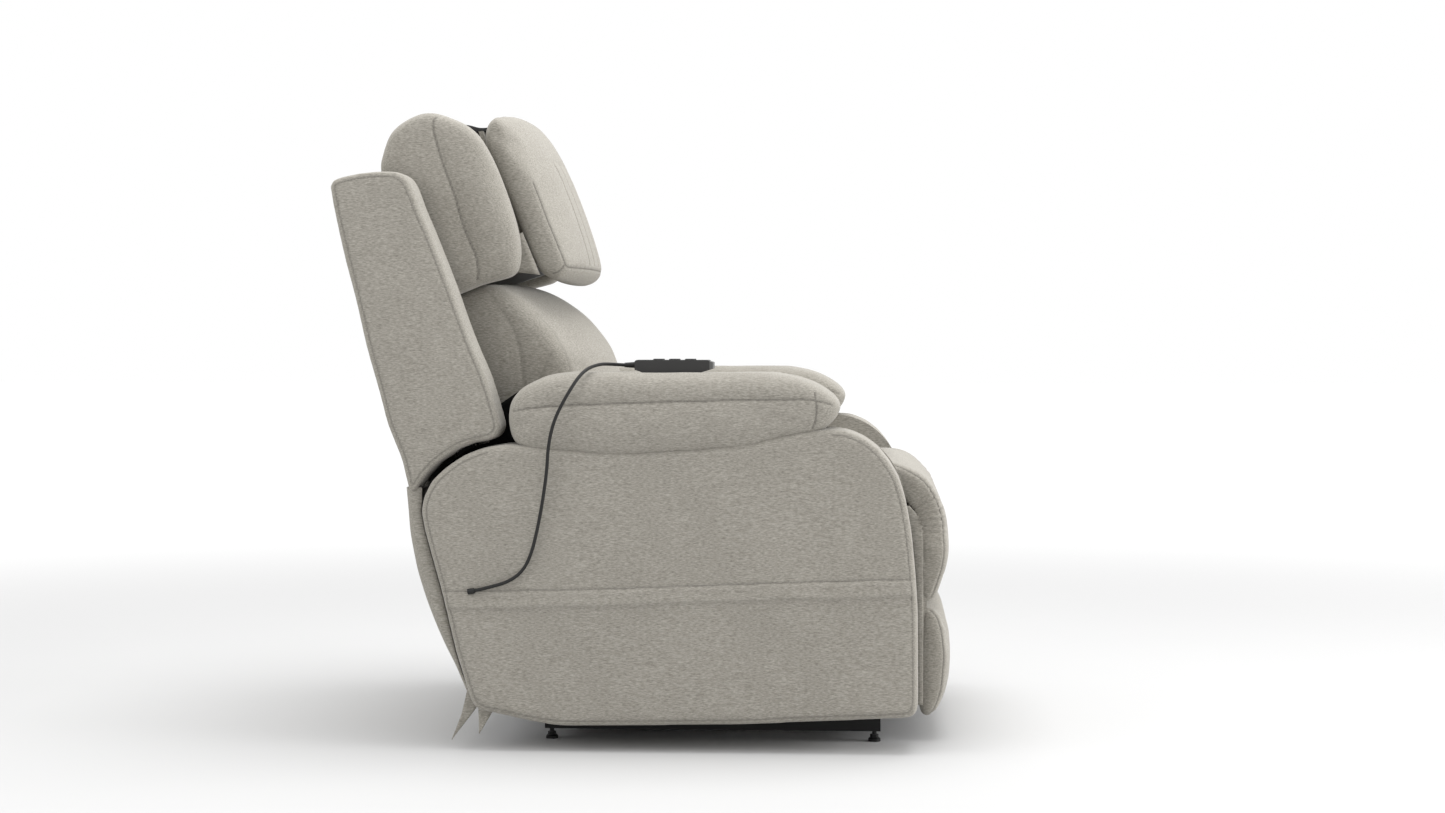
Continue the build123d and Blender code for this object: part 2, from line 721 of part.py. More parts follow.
# The handset's cord, 6 mm thick, from the strain relief to the pocket hem on the side panel.
CORD_RADIUS = 3.0
CORD_ROUTE = [
    (-33, -380, 677),
    (-64, -380, 677),
    (-99, -404, 681),
    (-121, -446, 673),
    (-135, -473, 642),
    (-147, -477, 601),
    (-158, -473, 556),
    (-161, -469, 510),
    (-165, -467, 464),
    (-173, -465, 414),
    (-185, -464, 366),
    (-204, -463, 325),
    (-233, -462, 298),
    (-262, -461.5, 288),
    (-289, -461, 283.5),
]


def cord_radii():
    """The largest arc that each corner's two runs allow."""
    route = [Vector(*point) for point in CORD_ROUTE]
    radii = []
    for before, corner, after in zip(route, route[1:], route[2:]):
        first, second = corner - before, after - corner
        turn = math.radians(first.get_angle(second))
        radii.append(0.45 * min(first.length, second.length) / math.tan(turn / 2))
    return radii


def make_cord():
    radii = cord_radii()
    with BuildLine() as route:
        FilletPolyline(*CORD_ROUTE, radius=radii)
    length = sum(edge.length for edge in route.line.edges())
    start, end = Vector(*CORD_ROUTE[0]), Vector(*CORD_ROUTE[-1])
    with BuildPart() as cord:
        with BuildSketch(Plane(start, z_dir=Vector(*CORD_ROUTE[1]) - start)):
            Circle(CORD_RADIUS)
        sweep(path=Wire(route.line.edges()))
    print("cord radii", [round(radius) for radius in radii], "length", round(length))
    print("cord volume", cord.part.volume / (math.pi * CORD_RADIUS**2 * length))
    save(cord, "handset_cord")
    with BuildPart() as grommet:
        with BuildSketch(Plane(end, z_dir=end - Vector(*CORD_ROUTE[-2]))):
            Circle(5.0)
        extrude(amount=12)
    save(grommet, "cord_grommet")


def make_rear_fabric():
    """The curtain that closes the gap under the back, and the loose ends of its ties."""
    rear = [(-424, 462), (-416, 418), (-411, 384), (-398, 316), (-381, 262), (-364, 218),
            (-347, 180), (-329, 146), (-318, 116)]
    front = [(x + 5, z) for x, z in reversed(rear)]
    with BuildPart() as curtain:
        with BuildSketch(SIDE.offset(425)):
            make_face(polygon(rear + front).edges())
        extrude(amount=-850)
        for points in (
            [(-312, 104), (-330, 60), (-344, 12), (-320, 32), (-304, 62), (-310, 100)],
            [(-300, 66), (-297, 23), (-275, 29), (-258, 60)],
        ):
            with BuildSketch(SIDE.offset(-418)):
                make_face(polygon(points).edges())
            extrude(amount=-2)
        mirror(about=Plane.XZ)
    save(curtain, "rear_curtain")


os.makedirs("parts", exist_ok=True)
make_base()
make_base_brackets()
make_feet()
make_lift()
make_actuator("lift", LIFT_MOUNT, LIFT_DRIVE, 0.0, 48, 13.0, 320)
make_actuator("recline", RECLINE_MOUNT, RECLINE_DRIVE, RECLINE_ACROSS, 56, 14.0, 380)
make_actuator("footrest", FOOTREST_MOUNT, FOOTREST_DRIVE, FOOTREST_ACROSS, 6, 15.5, 240)
make_chassis()
make_seat()
make_sides()
make_back()
make_headrest()
make_lumbar()
make_footrest()
make_electrics()
make_handset()
make_cord()
make_rear_fabric()
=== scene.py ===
import math

import bmesh
import bpy
import numpy as np
from mathutils import Euler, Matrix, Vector
from mathutils.bvhtree import BVHTree
from mathutils.kdtree import KDTree


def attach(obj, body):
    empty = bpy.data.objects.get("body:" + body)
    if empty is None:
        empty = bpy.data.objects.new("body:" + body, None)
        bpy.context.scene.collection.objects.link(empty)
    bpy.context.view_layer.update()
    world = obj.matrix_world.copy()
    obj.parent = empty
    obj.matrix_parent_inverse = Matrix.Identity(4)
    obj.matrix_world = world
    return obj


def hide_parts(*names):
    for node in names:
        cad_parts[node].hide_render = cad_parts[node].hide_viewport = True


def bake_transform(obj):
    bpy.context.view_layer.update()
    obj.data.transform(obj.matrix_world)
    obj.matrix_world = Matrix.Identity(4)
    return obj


# Lift recliner chair. Points are in millimetres and become metres when a mesh is made.
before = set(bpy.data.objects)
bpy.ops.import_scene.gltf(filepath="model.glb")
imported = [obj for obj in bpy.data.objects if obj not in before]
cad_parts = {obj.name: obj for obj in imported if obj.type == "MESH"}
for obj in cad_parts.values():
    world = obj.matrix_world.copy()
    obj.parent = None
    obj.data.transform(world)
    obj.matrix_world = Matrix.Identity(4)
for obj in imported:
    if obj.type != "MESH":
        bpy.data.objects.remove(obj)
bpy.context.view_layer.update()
scene = bpy.context.scene
scene.view_settings.view_transform = "Standard"
scene.view_settings.look = "None"

BACK_PIVOT = (-260.0, 413.0)
BACK_LEAN = math.radians(18.3)
FOOT_PIVOT = (430.0, 390.0)
WEAVE_PITCH = 0.0019
HOLD_REACH = 4.5
SEAM_REACH = 3.6
# The next value is the width of the painted shade along the seams.
SEAM_SHADE_WIDTH = 1.6
THREAD_RADIUS = 0.8
SIM_FRAMES = 20
HEM_DEPTH = 33
HEM_RELIEF = 3.4

# Camera.
camera = bpy.data.objects.new("camera", bpy.data.cameras.new("camera"))
scene.collection.objects.link(camera)
camera.location = (0.407, -4.76, 0.737)
camera.rotation_euler = Euler((math.radians(90 - 1.739), 0, math.radians(3.484)))
camera.data.lens = 61.96
camera.data.sensor_width = 36
scene.camera = camera


# Materials.
def new_material(name, colour, roughness, metallic=0.0, sheen=0.0, specular=0.5):
    material = bpy.data.materials.new(name)
    material.use_nodes = True
    tree = material.node_tree
    shader = tree.nodes["Principled BSDF"]
    shader.inputs["Base Color"].default_value = (*colour, 1)
    shader.inputs["Roughness"].default_value = roughness
    shader.inputs["Metallic"].default_value = metallic
    shader.inputs["Specular IOR Level"].default_value = specular
    if sheen:
        shader.inputs["Sheen Weight"].default_value = sheen
        shader.inputs["Sheen Roughness"].default_value = 0.55
        shader.inputs["Sheen Tint"].default_value = (1, 0.98, 0.95, 1)
    return material, tree, shader


def math_node(tree, operation, first, second=0.0):
    node = tree.nodes.new("ShaderNodeMath")
    node.operation = operation
    for socket, value in zip(node.inputs, (first, second)):
        if isinstance(value, (int, float)):
            socket.default_value = value
        else:
            tree.links.new(value, socket)
    return node.outputs[0]


def noise(tree, vector, stretch, detail=2.0, rough=0.55):
    """Noise whose grain has these sizes along the three axes, in metres."""
    mapping = tree.nodes.new("ShaderNodeMapping")
    mapping.inputs["Scale"].default_value = [1 / size for size in stretch]
    tree.links.new(vector, mapping.inputs["Vector"])
    node = tree.nodes.new("ShaderNodeTexNoise")
    node.inputs["Scale"].default_value = 1.0
    node.inputs["Detail"].default_value = detail
    node.inputs["Roughness"].default_value = rough
    tree.links.new(mapping.outputs[0], node.inputs["Vector"])
    return node.outputs["Fac"]


def mixed(tree, share, low, high):
    """A number between two numbers."""
    node = tree.nodes.new("ShaderNodeMix")
    for socket, value in ((0, share), (2, low), (3, high)):
        if isinstance(value, (int, float)):
            node.inputs[socket].default_value = value
        else:
            tree.links.new(value, node.inputs[socket])
    return node.outputs[0]


def tinted(tree, share, low, high):
    """A colour between two colours."""
    node = tree.nodes.new("ShaderNodeMix")
    node.data_type = "RGBA"
    tree.links.new(share, node.inputs[0])
    for socket, value in ((6, low), (7, high)):
        if isinstance(value, tuple):
            node.inputs[socket].default_value = (*value, 1)
        else:
            tree.links.new(value, node.inputs[socket])
    return node.outputs[2]


def bump(tree, shader, height, strength, distance):
    node = tree.nodes.new("ShaderNodeBump")
    node.inputs["Strength"].default_value = strength
    node.inputs["Distance"].default_value = distance
    tree.links.new(height, node.inputs["Height"])
    tree.links.new(node.outputs[0], shader.inputs["Normal"])


def attribute(tree, name, output):
    node = tree.nodes.new("ShaderNodeAttribute")
    node.attribute_name = name
    return node.outputs[output]


def waves(tree, vector, pitch):
    """Crossing yarns: the sum of a sine along each axis."""
    split = tree.nodes.new("ShaderNodeSeparateXYZ")
    tree.links.new(vector, split.inputs[0])
    total = None
    for axis in split.outputs:
        wave = math_node(tree, "SINE", math_node(tree, "MULTIPLY", axis, 2 * math.pi / pitch))
        total = wave if total is None else math_node(tree, "ADD", total, wave)
    return math_node(tree, "MULTIPLY", total, 0.2)


def fabric(name, dark, light, sheen=0.22, specular=0.22):
    """Slubbed plain weave. The slubs run level on every face."""
    material, tree, shader = new_material(name, light, 0.92, sheen=sheen, specular=specular)
    rest = attribute(tree, "rest", "Vector")
    facing = attribute(tree, "facing", "Fac")
    long_x = noise(tree, rest, (0.0068, 0.0015, 0.0015), 2.5, 0.6)
    long_y = noise(tree, rest, (0.0015, 0.0068, 0.0015), 2.5, 0.6)
    slub = mixed(tree, facing, long_y, long_x)
    yarn = noise(tree, rest, (0.0011, 0.0011, 0.0011), 2.0)
    cloud = noise(tree, rest, (0.09, 0.09, 0.05), 3.0)
    weave = waves(tree, rest, WEAVE_PITCH)
    tone = math_node(tree, "ADD", math_node(tree, "MULTIPLY", slub, 2.2), -0.62)
    for part, share in ((yarn, 0.6), (cloud, 0.12)):
        swing = math_node(tree, "MULTIPLY", math_node(tree, "ADD", part, -0.5), share)
        tone = math_node(tree, "ADD", tone, swing)
    tone = math_node(tree, "ADD", tone, math_node(tree, "MULTIPLY", weave, 0.14))
    ramp = tree.nodes.new("ShaderNodeClamp")
    tree.links.new(tone, ramp.inputs["Value"])
    colour = tinted(tree, ramp.outputs[0], dark, light)
    # Painted shade: the colour darkens along each seam crease, down to 0.42 of the dark yarn.
    seam_shade = attribute(tree, "seam_shade", "Fac")
    deep = tuple(0.42 * c for c in dark)
    colour = tinted(tree, seam_shade, colour, deep)
    tree.links.new(colour, shader.inputs["Base Color"])
    height = math_node(tree, "ADD", slub, math_node(tree, "MULTIPLY", weave, 0.45))
    height = math_node(tree, "ADD", height, math_node(tree, "MULTIPLY", yarn, 0.35))
    bump(tree, shader, height, 0.5, 0.0009)
    return material


def grained(name, colour, roughness, grain, relief, metallic=0.0, stretch=None, vary=0.12,
            specular=0.5):
    """Metal, plastic or rubber with a fine grain and a little change of tone and gloss."""
    material, tree, shader = new_material(name, colour, roughness, metallic, specular=specular)
    place = tree.nodes.new("ShaderNodeTexCoord").outputs["Object"]
    fine = noise(tree, place, stretch or (grain,) * 3, 2.0)
    broad = noise(tree, place, (0.04, 0.04, 0.04), 4.0, 0.6)
    low = tuple(c * (1 - vary) for c in colour)
    high = tuple(min(1.0, c * (1 + vary) + 0.002) for c in colour)
    tree.links.new(tinted(tree, broad, low, high), shader.inputs["Base Color"])
    gloss = mixed(tree, broad, roughness - 0.09, roughness + 0.09)
    tree.links.new(gloss, shader.inputs["Roughness"])
    bump(tree, shader, fine, relief, 0.0002)
    return material


def plywood(name):
    material, tree, shader = new_material(name, (0.45, 0.3, 0.17), 0.6)
    place = tree.nodes.new("ShaderNodeTexCoord").outputs["Object"]
    grain = noise(tree, place, (0.09, 0.004, 0.004), 5.0, 0.65)
    tree.links.new(tinted(tree, grain, (0.3, 0.18, 0.09), (0.62, 0.44, 0.27)), shader.inputs["Base Color"])
    bump(tree, shader, grain, 0.35, 0.0004)
    return material


LINEN = fabric("linen_weave", (0.185, 0.172, 0.147), (0.372, 0.353, 0.312))
LINING = fabric("black_lining_cloth", (0.003, 0.003, 0.003), (0.009, 0.009, 0.009), 0.0, 0.08)
THREAD = grained("seam_thread", (0.2, 0.188, 0.165), 0.85, 0.0006, 0.6)
BLACK_STEEL = grained("black_powder_coat", (0.007, 0.007, 0.007), 0.42, 0.0009, 0.5, specular=0.2)
BRIGHT_STEEL = grained(
    "bright_steel", (0.56, 0.56, 0.57), 0.3, 0.001, 0.25, 1.0, (0.02, 0.0004, 0.0004), 0.08
)
BLACK_PLASTIC = grained("black_plastic", (0.008, 0.008, 0.008), 0.4, 0.0007, 0.4, specular=0.22)
CASE_PLASTIC = grained("charcoal_plastic", (0.027, 0.0265, 0.026), 0.5, 0.0005, 0.45, specular=0.35)
CAP_PLASTIC = grained("grey_plastic", (0.085, 0.084, 0.082), 0.42, 0.0005, 0.35)
RUBBER = grained("button_rubber", (0.035, 0.035, 0.036), 0.68, 0.0005, 0.5)
CORD_RUBBER = grained("cord_rubber", (0.012, 0.012, 0.0115), 0.52, 0.0008, 0.3, specular=0.3)
WOOD = plywood("plywood")

# CAD nodes that stay, by the start of their name.
FINISHES = {
    "base_": BLACK_STEEL, "lift_base": BLACK_STEEL, "foot_": BLACK_PLASTIC,
    "lift_arms": BLACK_STEEL, "lift_cross": BRIGHT_STEEL, "tilt_links": BLACK_STEEL,
    "lift_motor": BLACK_PLASTIC, "recline_motor": BLACK_PLASTIC,
    "footrest_motor": BLACK_PLASTIC, "lift_rod": BRIGHT_STEEL, "recline_rod": BRIGHT_STEEL,
    "footrest_rod": BRIGHT_STEEL, "mechanism": BLACK_STEEL, "chassis": BLACK_STEEL,
    "seat_deck": WOOD, "back_posts": BLACK_STEEL,
    "back_cross": BLACK_STEEL, "headrest_arms": BRIGHT_STEEL, "headrest_board": LINEN,
    "lumbar_plate": BLACK_PLASTIC, "footrest_brackets": BLACK_STEEL, "footrest_board": LINEN,
    "footrest_cranks": BLACK_STEEL, "footrest_couplers": BRIGHT_STEEL,
    "control_box": BLACK_PLASTIC, "handset_lower": CASE_PLASTIC, "handset_upper": CASE_PLASTIC,
    "handset_end": CAP_PLASTIC, "handset_strain": CORD_RUBBER, "cord_grommet": CORD_RUBBER,
    "button_": RUBBER,
}
# X in metres behind which the side linings take the black cloth, as painted shade in the gap behind the arm.
GAP_SHADE_STARTS = -0.15
BEVELLED = {"handset_lower_case": 0.6, "handset_upper_case": 0.6, "handset_end_cap": 0.7}


def finish_cad_nodes():
    """Materials and edges of the CAD nodes that show."""
    for name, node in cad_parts.items():
        for start, material in FINISHES.items():
            if name.startswith(start):
                node.data.materials.clear()
                node.data.materials.append(material)
        if name in BEVELLED:
            edge = node.modifiers.new("edge", "BEVEL")
            edge.width = BEVELLED[name] / 1000
            edge.segments = 3
            edge.limit_method = "ANGLE"
        if name in ("footrest_board", "headrest_board"):
            dress(node.data)
        # Painted shade: the rear faces of the side linings, seen in the gap behind the arm pad, take the
        # black cloth; the front faces take the linen.
        if name == "side_linings":
            dress(node.data)
            node.data.materials.clear()
            node.data.materials.append(LINEN)
            node.data.materials.append(LINING)
            rear = [int(face.center.x < GAP_SHADE_STARTS) for face in node.data.polygons]
            node.data.polygons.foreach_set("material_index", rear)


# Outlines.
def outline(points, count=240, blur=7.0):
    """A closed outline through points, evenly divided, with its corners rounded."""
    p = np.asarray(points, float)
    p = np.vstack([p, p[:1]])
    along = np.concatenate([[0], np.cumsum(np.hypot(*np.diff(p, axis=0).T))])
    at = np.arange(count) * along[-1] / count
    even = np.stack([np.interp(at, along, p[:, k]) for k in (0, 1)], 1)
    step = along[-1] / count
    reach = int(math.ceil(3 * blur / step))
    offsets = np.arange(-reach, reach + 1)
    weights = np.exp(-0.5 * (offsets * step / blur) ** 2)
    weights /= weights.sum()
    return sum(w * np.roll(even, k, 0) for w, k in zip(weights, offsets))


def inset(line, depth):
    """The outline moved inwards."""
    ahead = np.roll(line, -1, 0) - np.roll(line, 1, 0)
    normal = np.stack([-ahead[:, 1], ahead[:, 0]], 1)
    normal /= np.linalg.norm(normal, axis=1)[:, None] + 1e-9
    x, z = line.T
    area = np.sum(x * np.roll(z, -1) - z * np.roll(x, -1))
    return line + normal * depth * (1 if area > 0 else -1)


def back_to_side(line):
    """From the back's own plane (forwards, up) to X and Z."""
    c, s = math.cos(BACK_LEAN), math.sin(BACK_LEAN)
    v, u = np.asarray(line, float).T
    return np.stack([BACK_PIVOT[0] + v * c - u * s, BACK_PIVOT[1] + v * s + u * c], 1)


def side_to_back(line):
    c, s = math.cos(BACK_LEAN), math.sin(BACK_LEAN)
    x, z = np.asarray(line, float).T
    x, z = x - BACK_PIVOT[0], z - BACK_PIVOT[1]
    return np.stack([x * c + z * s, z * c - x * s], 1)


def rings_of(shape_at, low, high, low_round, high_round, steps=24):
    """Outlines across the chair from one end to the other, whose ends are rounded."""
    spots = []
    for t in np.linspace(0, math.pi / 2, 6):
        spots.append((low + low_round * (1 - math.sin(t)), low_round * (1 - math.cos(t))))
    spots.reverse()
    for y in np.linspace(low + low_round, high - high_round, steps):
        spots.append((y, 0.0))
    for t in np.linspace(0, math.pi / 2, 6):
        spots.append((high - high_round * (1 - math.sin(t)), high_round * (1 - math.cos(t))))
    rings = []
    for y, depth in spots:
        line = inset(shape_at(y), depth)
        rings.append(np.stack([line[:, 0], np.full(len(line), y), line[:, 1]], 1))
    return rings


def new_object(name, mesh):
    obj = bpy.data.objects.new(name, mesh)
    scene.collection.objects.link(obj)
    return obj


def lofted(name, bodies):
    """One mesh of closed lofts, each through its rings."""
    verts, faces = [], []
    for rings in bodies:
        n, start = len(rings[0]), len(verts)
        for ring in rings:
            verts.extend((ring / 1000).tolist())
        for k in range(len(rings) - 1):
            a, b = start + k * n, start + (k + 1) * n
            for i in range(n):
                j = (i + 1) % n
                faces.append((a + i, a + j, b + j, b + i))
        faces.append(tuple(range(start + n - 1, start - 1, -1)))
        last = start + (len(rings) - 1) * n
        faces.append(tuple(range(last, last + n)))
    mesh = bpy.data.meshes.new(name)
    mesh.from_pydata(verts, [], faces)
    form = bmesh.new()
    form.from_mesh(mesh)
    bmesh.ops.recalc_face_normals(form, faces=form.faces)
    form.to_mesh(mesh)
    form.free()
    return new_object(name, mesh)


def bake(obj):
    """Apply every modifier."""
    graph = bpy.context.evaluated_depsgraph_get()
    mesh = bpy.data.meshes.new_from_object(obj.evaluated_get(graph))
    obj.modifiers.clear()
    obj.data = mesh


def points_of(mesh):
    co = np.empty(len(mesh.vertices) * 3, np.float32)
    mesh.vertices.foreach_get("co", co)
    return co.reshape(-1, 3).astype(float) * 1000


def set_points(mesh, co):
    mesh.vertices.foreach_set("co", (co / 1000).astype(np.float32).ravel())
    mesh.update()


def normals_of(mesh):
    no = np.empty(len(mesh.vertices) * 3, np.float32)
    mesh.vertex_normals.foreach_get("vector", no)
    return no.reshape(-1, 3).astype(float)


def relax(obj, times):
    """Even out the surface."""
    mesh = obj.data
    ends = np.empty(len(mesh.edges) * 2, np.int32)
    mesh.edges.foreach_get("vertices", ends)
    a, b = ends.reshape(-1, 2).T
    co = points_of(mesh)
    count = np.bincount(np.concatenate([a, b]), minlength=len(co))[:, None]
    for _ in range(times):
        near = np.zeros_like(co)
        for k in range(3):
            near[:, k] = np.bincount(a, co[b, k], len(co)) + np.bincount(b, co[a, k], len(co))
        co = co + 0.6 * (near / np.maximum(count, 1) - co)
    set_points(mesh, co)


def finely(path, step=2.5):
    p = np.asarray(path, float)
    along = np.concatenate([[0], np.cumsum(np.linalg.norm(np.diff(p, axis=0), axis=1))])
    count = max(3, int(along[-1] / step))
    at = np.linspace(0, along[-1], count)
    line = np.stack([np.interp(at, along, p[:, k]) for k in range(3)], 1)
    for _ in range(6):
        line[1:-1] = (line[:-2] + 2 * line[1:-1] + line[2:]) / 4
    return line


def snapped(obj, path):
    """The path laid on the surface."""
    mesh = obj.data
    tree = BVHTree.FromPolygons([v.co for v in mesh.vertices], [p.vertices for p in mesh.polygons])
    line = []
    for point in finely(path):
        found = tree.find_nearest(Vector(point / 1000))
        line.append(np.array(found[0]) * 1000)
    line = np.array(line)
    for _ in range(3):
        line[1:-1] = (line[:-2] + 2 * line[1:-1] + line[2:]) / 4
    return line


def distance_to(co, line):
    tree = KDTree(len(line))
    for i, point in enumerate(line):
        tree.insert(point, i)
    tree.balance()
    far = np.full(len(co), 1e3)
    low, high = line.min(0) - 30, line.max(0) + 30
    near = np.nonzero(((co > low) & (co < high)).all(1))[0]
    for i in near:
        far[i] = tree.find(co[i])[2]
    return far


def stitches(line, radius, dash=4.6, gap=1.3):
    """Short threads along a line, as points and faces."""
    steps = np.linalg.norm(np.diff(line, axis=0), axis=1)
    along = np.concatenate([[0], np.cumsum(steps)])
    verts, faces = [], []
    place = 0.0
    while place + dash < along[-1]:
        at = place + dash * np.array([0, 0.15, 0.5, 0.85, 1])
        middle = np.stack([np.interp(at, along, line[:, k]) for k in range(3)], 1)
        ahead = middle[-1] - middle[0]
        ahead /= np.linalg.norm(ahead) + 1e-9
        side = np.cross(ahead, (0.31, 0.54, 0.78))
        side /= np.linalg.norm(side) + 1e-9
        other = np.cross(ahead, side)
        base = len(verts)
        for centre, size in zip(middle, (0.25, 0.85, 1, 0.85, 0.25)):
            for k in range(5):
                angle = 2 * math.pi * k / 5
                verts.append(centre + radius * size * (side * math.cos(angle) + other * math.sin(angle)))
        for ring in range(4):
            for k in range(5):
                j = (k + 1) % 5
                a, b = base + ring * 5, base + ring * 5 + 5
                faces.append((a + k, a + j, b + j, b + k))
        place += dash + gap
    return np.array(verts).reshape(-1, 3), faces


def dress(mesh, seam_shade=None):
    """The values that the fabric reads: the place at rest, the way a face looks, and the painted shade along
    the seams.
    """
    co = points_of(mesh) / 1000
    count = len(co)
    for name, kind, key, value in (
        ("rest", "FLOAT_VECTOR", "vector", co),
        ("facing", "FLOAT", "value", np.clip((np.abs(normals_of(mesh)[:, 1]) - 0.45) * 5, 0, 1)),
        ("seam_shade", "FLOAT", "value", np.zeros(count) if seam_shade is None else seam_shade),
    ):
        layer = mesh.attributes.get(name) or mesh.attributes.new(name, kind, "POINT")
        layer.data.foreach_set(key, value.astype(np.float32).ravel())


def combined(obj, verts, faces):
    """Add threads to a piece, as its second material."""
    mesh = obj.data
    co = points_of(mesh)
    main = [tuple(p.vertices) for p in mesh.polygons]
    start = len(co)
    extra = [tuple(start + i for i in face) for face in faces]
    new = bpy.data.meshes.new(obj.name)
    new.from_pydata((np.vstack([co, verts]) / 1000).tolist(), [], main + extra)
    index = np.array([0] * len(main) + [1] * len(extra), np.int32)
    new.polygons.foreach_set("material_index", index)
    obj.data = new


PIECES = []


def cushion(name, bodies, seams=(), hold=None, cap=14.0, pressure=4.0, voxel=6.0, even=6,
            shape=None, threads=True, crease=1.3, dark=0.8):
    """A soft piece, ready for its simulation. cap is how far a point may move; dark is how strong the
    painted shade along its seams is.
    """
    obj = lofted(name, bodies)
    remesh = obj.modifiers.new("remesh", "REMESH")
    remesh.mode = "VOXEL"
    remesh.voxel_size = voxel / 1000
    bake(obj)
    relax(obj, even)
    paths = [snapped(obj, path) for path in seams]
    PIECES.append(
        {"obj": obj, "seams": paths, "hold": hold, "cap": cap, "pressure": pressure,
         "shape": shape, "threads": threads, "crease": crease, "dark": dark}
    )
    return obj


def held_points(piece):
    co = points_of(piece["obj"].data)
    held = np.zeros(len(co), bool)
    for line in piece["seams"]:
        held |= distance_to(co, line) < HOLD_REACH
    if piece["hold"] is not None:
        held |= piece["hold"](co)
    return held


def inflate():
    """Cloth under pressure, between the seams that hold it."""
    soft = [piece for piece in PIECES if piece["cap"] > 0]
    starts = []
    for piece in soft:
        obj = piece["obj"]
        starts.append(points_of(obj.data))
        group = obj.vertex_groups.new(name="pin")
        group.add([int(i) for i in np.nonzero(held_points(piece))[0]], 1.0, "REPLACE")
        cloth = obj.modifiers.new("cloth", "CLOTH")
        rule = cloth.settings
        rule.quality = 4
        rule.mass = 0.25
        rule.tension_stiffness = rule.compression_stiffness = 12
        rule.shear_stiffness = 6
        rule.bending_stiffness = 0.6
        rule.use_pressure = True
        rule.uniform_pressure_force = piece["pressure"]
        rule.effector_weights.gravity = 0
        rule.vertex_group_mass = "pin"
        cloth.collision_settings.use_collision = False
    for number in range(1, SIM_FRAMES + 1):
        scene.frame_set(number)
    graph = bpy.context.evaluated_depsgraph_get()
    for piece, start in zip(soft, starts):
        obj = piece["obj"]
        mesh = bpy.data.meshes.new_from_object(obj.evaluated_get(graph))
        moved = points_of(mesh) - start
        size = np.linalg.norm(moved, axis=1)[:, None]
        limit = piece["cap"]
        moved *= limit * np.tanh(size / limit) / np.maximum(size, 1e-6)
        obj.modifiers.clear()
        obj.data = mesh
        set_points(mesh, start + moved)
        obj.vertex_groups.clear()
    scene.frame_set(1)


def finish_soft():
    for piece in PIECES:
        obj = piece["obj"]
        relax(obj, 2)
        fine = obj.modifiers.new("fine", "SUBSURF")
        fine.levels = fine.render_levels = 1
        bake(obj)
        mesh = obj.data
        co, no = points_of(mesh), normals_of(mesh)
        if piece["shape"] is not None:
            co = piece["shape"](co, no)
            set_points(mesh, co)
            no = normals_of(mesh)
        depth, dark = np.zeros(len(co)), np.zeros(len(co))
        lines = []
        for path in piece["seams"]:
            line = snapped(obj, path)
            far = distance_to(co, line)
            depth = np.maximum(depth, piece["crease"] * np.exp(-((far / SEAM_REACH) ** 2)))
            # Painted shade: a narrow dark band along each seam, where the crease is shaded.
            dark = np.maximum(dark, piece["dark"] * np.exp(-((far / SEAM_SHADE_WIDTH) ** 2)))
            lines.append(line)
        co -= no * depth[:, None]
        set_points(mesh, co)
        verts, faces = np.zeros((0, 3)), []
        if piece["threads"]:
            for line in lines:
                more, links = stitches(snapped(obj, line), THREAD_RADIUS)
                faces += [tuple(len(verts) + i for i in face) for face in links]
                verts = np.vstack([verts, more])
        combined(obj, verts, faces)
        mesh = obj.data
        mesh.materials.append(LINEN)
        mesh.materials.append(THREAD)
        mesh.polygons.foreach_set("use_smooth", np.ones(len(mesh.polygons), bool))
        dress(mesh, np.concatenate([dark, np.zeros(len(verts))]))
        mesh.update()


def mirrored(obj, name):
    """The same piece on the other side of the chair."""
    mesh = obj.data.copy()
    co = points_of(mesh)
    co[:, 1] *= -1
    set_points(mesh, co)
    mesh.flip_normals()
    return new_object(name, mesh)


# The handset's cord, first, along its CAD route.
CORD_POINTS = [
    (-33, -380, 677), (-56, -381, 678.5), (-76, -410, 679), (-99, -450, 668), (-122, -477, 630),
    (-146, -479, 584), (-157, -474, 540), (-160, -470, 495), (-167, -467, 447),
    (-176, -465, 398), (-188, -464, 349), (-203, -463, 319), (-226, -462, 301),
    (-256, -461.5, 291), (-289, -461, 283.5),
]
cord_curve = bpy.data.curves.new("handset_lead", "CURVE")
cord_curve.dimensions = "3D"
route = cord_curve.splines.new("NURBS")
route.points.add(len(CORD_POINTS) - 1)
for point, place in zip(route.points, CORD_POINTS):
    point.co = (*(value / 1000 for value in place), 1)
route.order_u = 3
route.use_endpoint_u = True
route.resolution_u = 12
cord_curve.bevel_depth = 0.003
cord_curve.bevel_resolution = 4
cord_curve.use_fill_caps = True
cord_curve.materials.append(CORD_RUBBER)
lead = new_object("handset_lead", cord_curve)
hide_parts("handset_cord")
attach(lead, "chassis")

# Side panels.
PANEL_TOP = [
    (-243, 538), (-221, 539), (-197, 537), (-150, 532), (-80, 527), (-14, 525), (105, 532),
    (150, 537), (194, 543), (247, 555), (290, 563), (317, 566),
]
PANEL = [
    (485, 92), (484, 77), (478, 67), (463, 64), (331, 58), (172, 50), (-70, 46), (-136, 45), (-171, 49),
    (-208, 56), (-253, 66), (-285, 72), (-298, 84), (-300, 94), (-324, 171), (-350, 281),
    (-378, 382), (-385, 417), (-383, 441), (-367, 474), (-342, 498), (-309, 520), (-275, 533),
    *PANEL_TOP,
    (339, 567), (361, 565), (390, 553), (415, 534), (434, 511), (451, 482), (463, 443),
    (473, 387), (480, 314), (484, 253),
]
HEM_TOP = [(-349, 280), (-289, 282), (-69, 287), (170, 297), (330, 303), (482, 308)]


def panel_seam(depth, y):
    """The line inside the panel's edge, without the stretch under the arm pad."""
    line = inset(outline(PANEL, 360, 4), depth)
    under = (line[:, 1] > 500) & (line[:, 0] > -262) & (line[:, 0] < 330)
    start = int(np.nonzero(under)[0].max()) + 1
    line = np.roll(line, -start, 0)[: len(line) - int(under.sum())]
    return [(x, y, z) for x, z in line]


